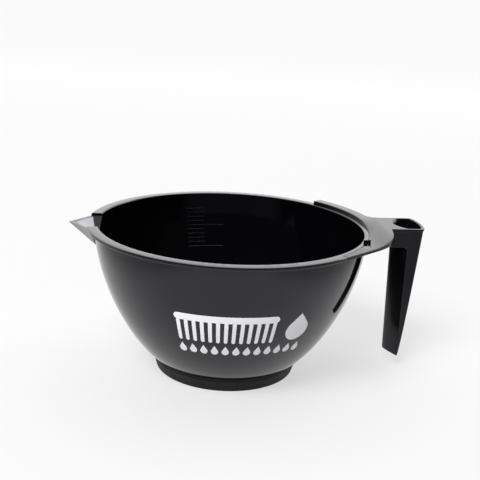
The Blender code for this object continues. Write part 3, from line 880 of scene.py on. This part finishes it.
def build_print():
    body = bmesh.new()
    spine_bottom = PRINT_TOP - COMB_SPINE
    printed_patch(body, rounded_bar(PRINT_LEFT, COMB_RIGHT, spine_bottom, PRINT_TOP, COMB_SPINE / 2))
    run = COMB_RIGHT - PRINT_LEFT - COMB_TOOTH_WIDTH - COMB_SPINE / 2
    for index in range(COMB_TEETH):
        left = PRINT_LEFT + COMB_SPINE / 4 + run * index / (COMB_TEETH - 1)
        printed_patch(body, rounded_bar(left, left + COMB_TOOTH_WIDTH, PRINT_MIDDLE,
                                        spine_bottom + COMB_TOOTH_OVERLAP, COMB_TOOTH_WIDTH / 2))
    printed_patch(body, drop(BIG_DROP_CENTRE, PRINT_MIDDLE, PRINT_TOP, BIG_DROP_WIDTH))
    first = PRINT_LEFT + SMALL_DROP_WIDTH / 2
    run = PRINT_RIGHT - PRINT_LEFT - SMALL_DROP_WIDTH
    for index in range(SMALL_DROPS):
        centre = first + run * index / (SMALL_DROPS - 1)
        printed_patch(body, drop(centre, PRINT_ROW_BOTTOM, PRINT_ROW_TOP, SMALL_DROP_WIDTH))
    film = finish_mesh("front_print", body)
    shade(film)
    return film


# ---------------------------------------------------------------- materials

class Look:
    """A Principled material with helpers for the nodes behind it."""

    def __init__(self, name, colour, roughness, ior=1.5):
        self.material = bpy.data.materials.new(name)
        self.material.use_nodes = True
        self.nodes = self.material.node_tree.nodes
        self.links = self.material.node_tree.links
        self.shader = self.nodes["Principled BSDF"]
        self.shader.inputs["Base Color"].default_value = (*colour, 1.0)
        self.shader.inputs["Roughness"].default_value = roughness
        self.shader.inputs["IOR"].default_value = ior
        self.shader.inputs["Specular Tint"].default_value = PLASTIC_TINT
        self.place = self.nodes.new("ShaderNodeTexCoord").outputs["Object"]

    def noise(self, scale, detail=3.0, roughness=0.5, stretch=None):
        texture = self.nodes.new("ShaderNodeTexNoise")
        texture.inputs["Scale"].default_value = scale
        texture.inputs["Detail"].default_value = detail
        texture.inputs["Roughness"].default_value = roughness
        place = self.place
        if stretch:
            mapping = self.nodes.new("ShaderNodeMapping")
            mapping.inputs["Scale"].default_value = stretch
            self.links.new(place, mapping.inputs["Vector"])
            place = mapping.outputs["Vector"]
        self.links.new(place, texture.inputs["Vector"])
        return texture.outputs["Fac"]

    def remap(self, value, low, high, to_low, to_high):
        node = self.nodes.new("ShaderNodeMapRange")
        node.inputs["From Min"].default_value = low
        node.inputs["From Max"].default_value = high
        node.inputs["To Min"].default_value = to_low
        node.inputs["To Max"].default_value = to_high
        self.links.new(value, node.inputs["Value"])
        return node.outputs["Result"]

    def math(self, operation, first, second):
        node = self.nodes.new("ShaderNodeMath")
        node.operation = operation
        for socket, value in zip(node.inputs, (first, second)):
            if isinstance(value, (int, float)):
                socket.default_value = value
            else:
                self.links.new(value, socket)
        return node.outputs["Value"]

    def mix_colours(self, factor, first, second):
        node = self.nodes.new("ShaderNodeMix")
        node.data_type = "RGBA"
        self.links.new(factor, node.inputs["Factor"])
        node.inputs["A"].default_value = (*first, 1.0)
        node.inputs["B"].default_value = (*second, 1.0)
        self.links.new(node.outputs["Result"], self.shader.inputs["Base Color"])

    def rough(self, value):
        self.links.new(value, self.shader.inputs["Roughness"])

    def bump(self, height, strength, distance, edge_radius=0.0):
        node = self.nodes.new("ShaderNodeBump")
        node.inputs["Strength"].default_value = strength
        node.inputs["Distance"].default_value = distance
        self.links.new(height, node.inputs["Height"])
        if edge_radius:
            edge = self.nodes.new("ShaderNodeBevel")
            edge.samples = 4
            edge.inputs["Radius"].default_value = edge_radius
            self.links.new(edge.outputs["Normal"], node.inputs["Normal"])
        self.links.new(node.outputs["Normal"], self.shader.inputs["Normal"])


def gloss_black():
    look = Look("gloss_black_moulded", (0.0006, 0.0006, 0.0008), 0.07)
    cloud = look.noise(45.0, 4.0)
    look.mix_colours(cloud, (0.0004, 0.0004, 0.0006), (0.001, 0.001, 0.0014))
    scuffs = look.remap(look.noise(160.0, 6.0, 0.7, (1.0, 1.0, 9.0)), 0.62, 0.78, 0.0, 0.06)
    look.rough(look.math("ADD", look.remap(cloud, 0.3, 0.7, 0.045, 0.085), scuffs))
    look.bump(look.noise(90.0, 2.0), 0.05, 0.0002, 0.00025)
    return look.material


def satin_black():
    look = Look("satin_black_moulded", (0.002, 0.002, 0.0025), 0.2, 1.36)
    cloud = look.noise(60.0, 4.0)
    look.mix_colours(cloud, (0.0012, 0.0012, 0.0016), (0.003, 0.003, 0.0036))
    look.rough(look.remap(cloud, 0.3, 0.7, 0.15, 0.22))
    look.bump(look.noise(3200.0, 2.0), 0.05, 0.00004)
    return look.material


def black_rubber():
    look = Look("black_rubber_moulded", (0.004, 0.004, 0.0045), 0.6, 1.35)
    cloud = look.noise(120.0, 5.0)
    look.mix_colours(cloud, (0.0025, 0.0025, 0.003), (0.0055, 0.0055, 0.0065))
    look.rough(look.remap(cloud, 0.3, 0.7, 0.48, 0.66))
    look.bump(look.noise(2400.0, 3.0), 0.25, 0.00008)
    return look.material


def white_ink():
    look = Look("white_ink", (0.68, 0.68, 0.7), 0.45)
    cloud = look.noise(700.0, 4.0)
    look.mix_colours(cloud, (0.64, 0.64, 0.66), (0.72, 0.72, 0.74))
    look.rough(look.remap(cloud, 0.3, 0.7, 0.38, 0.52))
    look.bump(cloud, 0.1, 0.00004)
    return look.material


def floor_look():
    """A white light table: mostly its own glow, with a little shade from the object."""
    look = Look("pale_floor", (FLOOR_ALBEDO,) * 3, 0.7)
    look.shader.inputs["Specular IOR Level"].default_value = 0.1
    look.shader.inputs["Emission Color"].default_value = (0.995, 0.995, 1.0, 1.0)
    turn = look.nodes.new("ShaderNodeVectorRotate")
    turn.rotation_type = "Z_AXIS"
    turn.inputs["Angle"].default_value = math.radians(VIEW_TURN)
    look.links.new(look.place, turn.inputs["Vector"])
    parts = look.nodes.new("ShaderNodeSeparateXYZ")
    look.links.new(turn.outputs["Vector"], parts.inputs["Vector"])
    aside = look.math("ABSOLUTE", look.math("SUBTRACT", parts.outputs["X"], AXIS_X), 0.0)
    away = look.math("ADD", parts.outputs["Y"], CAMERA_DISTANCE * MM)
    half_view = look.math("MULTIPLY", away, CAMERA_SENSOR / 2 / CAMERA_LENS)
    outside = look.math("SUBTRACT", aside, half_view)
    depth = parts.outputs["Y"]
    side = look.remap(outside, SHEET_MARGIN, SHEET_MARGIN + SHEET_FADE, 1.0, BEYOND_SHEET)
    front = look.remap(depth, SHEET_FRONT, SHEET_FRONT - SHEET_FRONT_FADE, 1.0, BEYOND_SHEET)
    sheet = look.math("MINIMUM", side, front)
    far = look.remap(depth, FAR_START, FAR_END, FLOOR_GLOW, FLOOR_GLOW * FAR_GLOW)
    look.links.new(look.math("MULTIPLY", sheet, far), look.shader.inputs["Emission Strength"])
    dark = (FLOOR_ALBEDO * FLOOR_SHADE,) * 3
    look.mix_colours(look.noise(3.0, 2.0), dark, (FLOOR_ALBEDO,) * 3)
    return look.material


def dress(piece, material, node=None):
    """Gives a piece its material and body, and hides the CAD node it stands for."""
    piece.data.materials.clear()
    piece.data.materials.append(material)
    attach(piece, "root")
    if node:
        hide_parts(node)


# ---------------------------------------------------------------- studio

def build_floor():
    body = bmesh.new()
    bmesh.ops.create_grid(body, x_segments=1, y_segments=1, size=FLOOR_SIZE / 2 / MM)
    floor = finish_mesh("studio_floor", body)
    floor.location.z = -FLOOR_DROP
    floor.data.materials.append(floor_look())


def build_light():
    """A soft sky: bright behind and overhead, dark on the camera's side."""
    world = bpy.data.worlds.new("studio")
    bpy.context.scene.world = world
    world.use_nodes = True
    nodes = world.node_tree.nodes
    links = world.node_tree.links
    background = nodes["Background"]
    place = nodes.new("ShaderNodeTexCoord")
    turn = nodes.new("ShaderNodeVectorRotate")
    turn.rotation_type = "Z_AXIS"
    turn.inputs["Angle"].default_value = math.radians(VIEW_TURN)
    links.new(place.outputs["Generated"], turn.inputs["Vector"])
    parts = nodes.new("ShaderNodeSeparateXYZ")
    links.new(turn.outputs["Vector"], parts.inputs["Vector"])

    def lobe(value, low, high, strength):
        node = nodes.new("ShaderNodeMapRange")
        node.interpolation_type = "SMOOTHSTEP"
        node.inputs["From Min"].default_value = low
        node.inputs["From Max"].default_value = high
        node.inputs["To Min"].default_value = 0.0
        node.inputs["To Max"].default_value = strength
        links.new(value, node.inputs["Value"])
        return node.outputs["Result"]

    def add(first, second):
        node = nodes.new("ShaderNodeMath")
        node.operation = "ADD"
        links.new(first, node.inputs[0])
        if isinstance(second, float):
            node.inputs[1].default_value = second
        else:
            links.new(second, node.inputs[1])
        return node.outputs["Value"]

    back = lobe(parts.outputs["Y"], BACK_START, BACK_FULL, LIGHT_BACK)
    top = lobe(parts.outputs["Z"], TOP_START, TOP_FULL, LIGHT_TOP)
    total = add(add(back, top), LIGHT_FRONT)
    links.new(total, background.inputs["Strength"])
    background.inputs["Color"].default_value = (1.0, 1.0, 1.0, 1.0)


def build_lamp(name, place, size, power, mirrored):
    """A soft square lamp, placed about the bowl in the camera's own directions and facing it."""
    data = bpy.data.lights.new(name, "AREA")
    data.size = size * MM
    data.energy = power
    lamp = bpy.data.objects.new(name, data)
    bpy.context.scene.collection.objects.link(lamp)
    turn = Matrix.Rotation(math.radians(-VIEW_TURN), 4, "Z")
    spot = turn @ Vector(place)
    aim = (-spot).to_track_quat("-Z", "Y").to_matrix().to_4x4()
    lamp.matrix_world = Matrix.Translation(Vector((AXIS_X, 0, 0)) + spot * MM) @ aim
    lamp.visible_glossy = mirrored


def build_camera():
    yaw = math.radians(CAMERA_YAW)
    pitch = math.radians(CAMERA_PITCH)
    roll = math.radians(CAMERA_ROLL)
    level = Vector((math.sin(yaw), math.cos(yaw), 0.0))
    forward = level * math.cos(pitch) - Vector((0.0, 0.0, math.sin(pitch)))
    right = Vector((math.cos(yaw), -math.sin(yaw), 0.0))
    up = right.cross(forward)
    level_right = math.cos(roll) * right + math.sin(roll) * up
    level_up = -math.sin(roll) * right + math.cos(roll) * up
    matrix = Matrix((level_right, level_up, -forward)).transposed().to_4x4()
    matrix.translation = Vector((0.0, -CAMERA_DISTANCE, CAMERA_HEIGHT)) * MM
    turn = Matrix.Rotation(math.radians(-VIEW_TURN), 4, "Z")
    data = bpy.data.cameras.new("camera")
    data.lens = CAMERA_LENS
    data.sensor_width = CAMERA_SENSOR
    data.clip_start = CLIP_START
    data.clip_end = CLIP_END
    camera = bpy.data.objects.new("camera", data)
    bpy.context.scene.collection.objects.link(camera)
    camera.matrix_world = Matrix.Translation((AXIS_X, 0, 0)) @ turn @ matrix
    bpy.context.scene.camera = camera


def main():
    dress(build_bowl(), gloss_black(), "bowl_shell")
    dress(build_handle(), satin_black(), "handle")
    dress(build_ring(), black_rubber(), "non_slip_ring")
    dress(build_print(), white_ink())
    build_floor()
    build_light()
    build_lamp("key_lamp", KEY_PLACE, KEY_SIZE, KEY_POWER, False)
    build_lamp("sparkle_lamp", SPARKLE_PLACE, SPARKLE_SIZE, SPARKLE_POWER, True)
    build_camera()
    bpy.context.scene.view_settings.view_transform = "Standard"


main()
